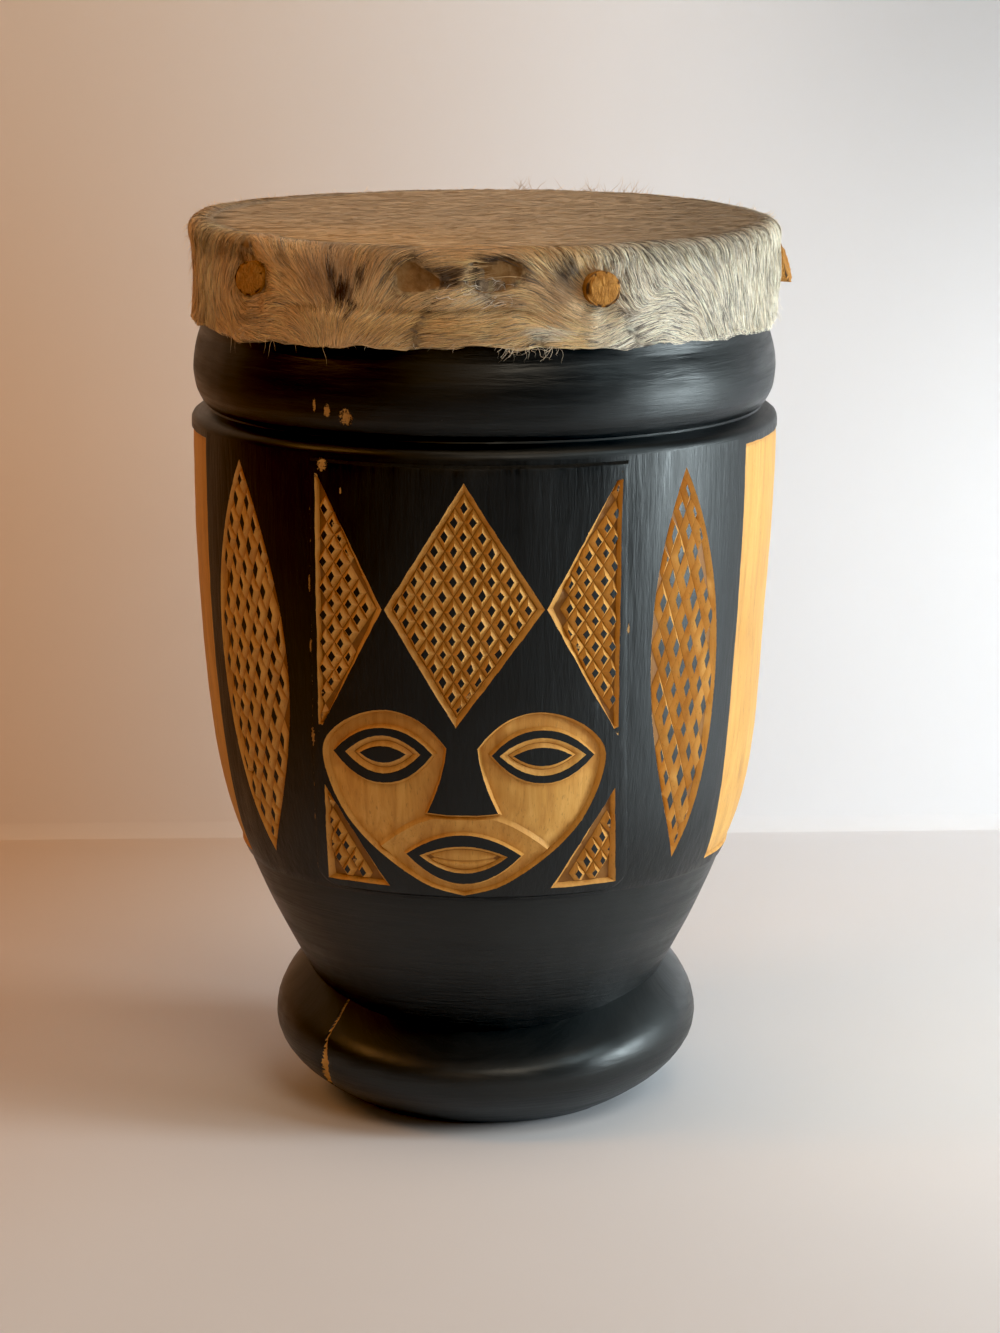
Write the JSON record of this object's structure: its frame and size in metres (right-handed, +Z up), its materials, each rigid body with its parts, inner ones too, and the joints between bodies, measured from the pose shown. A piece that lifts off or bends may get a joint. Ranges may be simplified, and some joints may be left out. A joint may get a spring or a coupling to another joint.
{
  "type": "ceremonial drum",
  "caption": "Footed wooden drum with a hair-on hide head pegged over its rim, a black painted barrel with raised panels, carved lattice diamonds, a stylised mask and bare wood side strips.",
  "frame": {"origin": "centre of the foot's underside, on the surface the drum stands on", "axes": "+Z up along the drum's axis, -Y towards the carved mask panel, +X to the right of it"},
  "size_m": [0.2408, 0.2416, 0.362],
  "materials": {
    "painted_wood": "satin black paint over carved wood, bare wood in the cuts",
    "hide": "hair-on hide, matte",
    "peg_wood": "rough-cut end grain"
  },
  "bodies": {
    "root": {"shell": "painted_wood", "hide_head": "hide", "peg_1": "peg_wood", "peg_2": "peg_wood", "peg_3": "peg_wood", "peg_4": "peg_wood", "peg_5": "peg_wood"}
  },
  "joints": []
}
